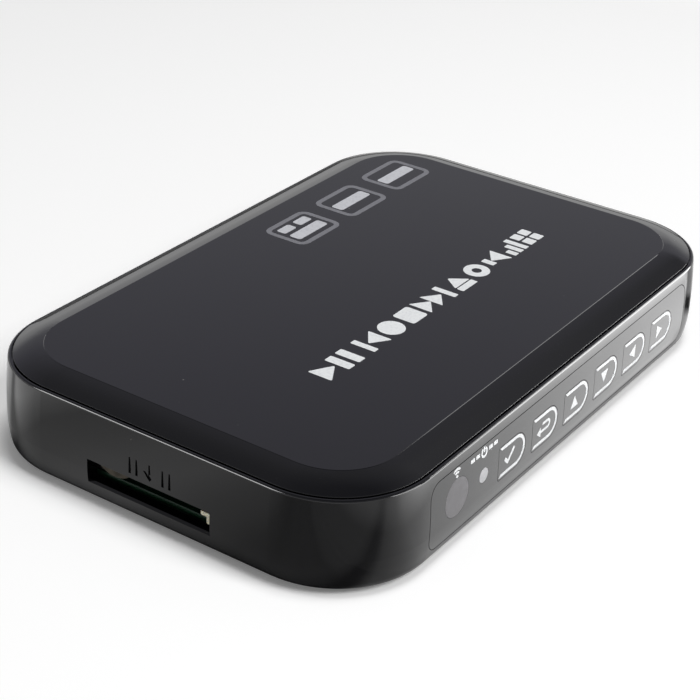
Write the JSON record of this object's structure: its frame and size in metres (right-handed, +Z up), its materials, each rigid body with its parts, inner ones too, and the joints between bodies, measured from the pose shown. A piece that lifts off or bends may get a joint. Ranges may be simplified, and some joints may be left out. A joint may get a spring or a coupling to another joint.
{
  "type": "media player",
  "caption": "Low black box with rounded corners, sloping cover border, a row of front keys, a push-in memory-card slot in the left end and connectors at the rear.",
  "frame": {"origin": "on the surface that the feet stand on, under the middle of the case", "axes": "+X along the case, away from the card slot; +Y to the rear, away from the keys; +Z up"},
  "size_m": [0.13, 0.085, 0.0197],
  "materials": {
    "shell_black": "polished black moulding",
    "strip_black": "glossy black strip with white print",
    "key_black": "glossy black key with white print",
    "window_dark": "dark infra-red plastic",
    "light_clear": "milky clear plastic",
    "stem_black": "moulded",
    "board_green": "solder mask over glass fibre",
    "plastic_black": "moulded, matt",
    "plastic_natural": "natural nylon",
    "steel": "plated sheet and wire",
    "screw_steel": "zinc-plated",
    "gold_contact": "gold-plated",
    "aluminium": "extruded, anodised",
    "rubber": "matt",
    "plate": "brushed, bare",
    "pad_grey": "soft heat pad",
    "led_milky": "milky epoxy"
  },
  "bodies": {
    "player": {"bottom_shell": "shell_black", "top_cover": "shell_black", "front_strip": "strip_black", "infrared_window": "window_dark", "light_pipe": "light_clear", "rubber_feet": "rubber", "rating_plate": "plate", "case_screws": "screw_steel", "key_board": "board_green", "switch_bodies": "plastic_black", "switch_frames": "steel", "key_board_header": "plastic_black", "header_pins": "gold_contact", "infrared_receiver": "window_dark", "power_led": "led_milky", "card_socket_cover": "steel", "card_socket_base": "plastic_black", "card_contacts": "gold_contact", "card_spring": "steel", "usb_socket_shell": "steel", "usb_socket_foot": "plastic_black", "usb_socket_tongue": "plastic_black", "usb_contacts": "gold_contact", "video_socket_shell": "steel", "video_socket_tongue": "plastic_black", "video_contacts": "gold_contact", "audio_jack": "plastic_black", "power_jack": "plastic_black", "power_jack_pin": "steel", "main_board": "board_green", "board_screws": "screw_steel", "processor": "plastic_black", "thermal_pad": "pad_grey", "heat_sink": "aluminium", "memory_chips": "plastic_black", "flash_chip": "plastic_black", "quartz_crystal": "steel", "capacitors": "aluminium", "power_coils": "plastic_black"},
    "card_slider": {"card_slider": "plastic_natural"},
    "key_ok": {"key_ok": "key_black", "switch_stem_ok": "stem_black"},
    "key_back": {"key_back": "key_black", "switch_stem_back": "stem_black"},
    "key_up": {"key_up": "key_black", "switch_stem_up": "stem_black"},
    "key_down": {"key_down": "key_black", "switch_stem_down": "stem_black"},
    "key_left": {"key_left": "key_black", "switch_stem_left": "stem_black"},
    "key_right": {"key_right": "key_black", "switch_stem_right": "stem_black"}
  },
  "joints": [
    {"name": "press_ok", "type": "slide", "parent": "player", "child": "key_ok", "axis": [0, 1, 0], "range_m": [0, 0.0003], "stiffness_N_per_m": 6000, "springref_m": -0.0001},
    {"name": "press_back", "type": "slide", "parent": "player", "child": "key_back", "axis": [0, 1, 0], "range_m": [0, 0.0003], "stiffness_N_per_m": 6000, "springref_m": -0.0001},
    {"name": "press_up", "type": "slide", "parent": "player", "child": "key_up", "axis": [0, 1, 0], "range_m": [0, 0.0003], "stiffness_N_per_m": 6000, "springref_m": -0.0001},
    {"name": "press_down", "type": "slide", "parent": "player", "child": "key_down", "axis": [0, 1, 0], "range_m": [0, 0.0003], "stiffness_N_per_m": 6000, "springref_m": -0.0001},
    {"name": "press_left", "type": "slide", "parent": "player", "child": "key_left", "axis": [0, 1, 0], "range_m": [0, 0.0003], "stiffness_N_per_m": 6000, "springref_m": -0.0001},
    {"name": "press_right", "type": "slide", "parent": "player", "child": "key_right", "axis": [0, 1, 0], "range_m": [0, 0.0003], "stiffness_N_per_m": 6000, "springref_m": -0.0001},
    {"name": "card_slider_travel", "type": "slide", "parent": "player", "child": "card_slider", "axis": [1, 0, 0], "range_m": [0, 0.004], "stiffness_N_per_m": 120, "springref_m": -0.001, "deforming": ["card_spring"]}
  ]
}
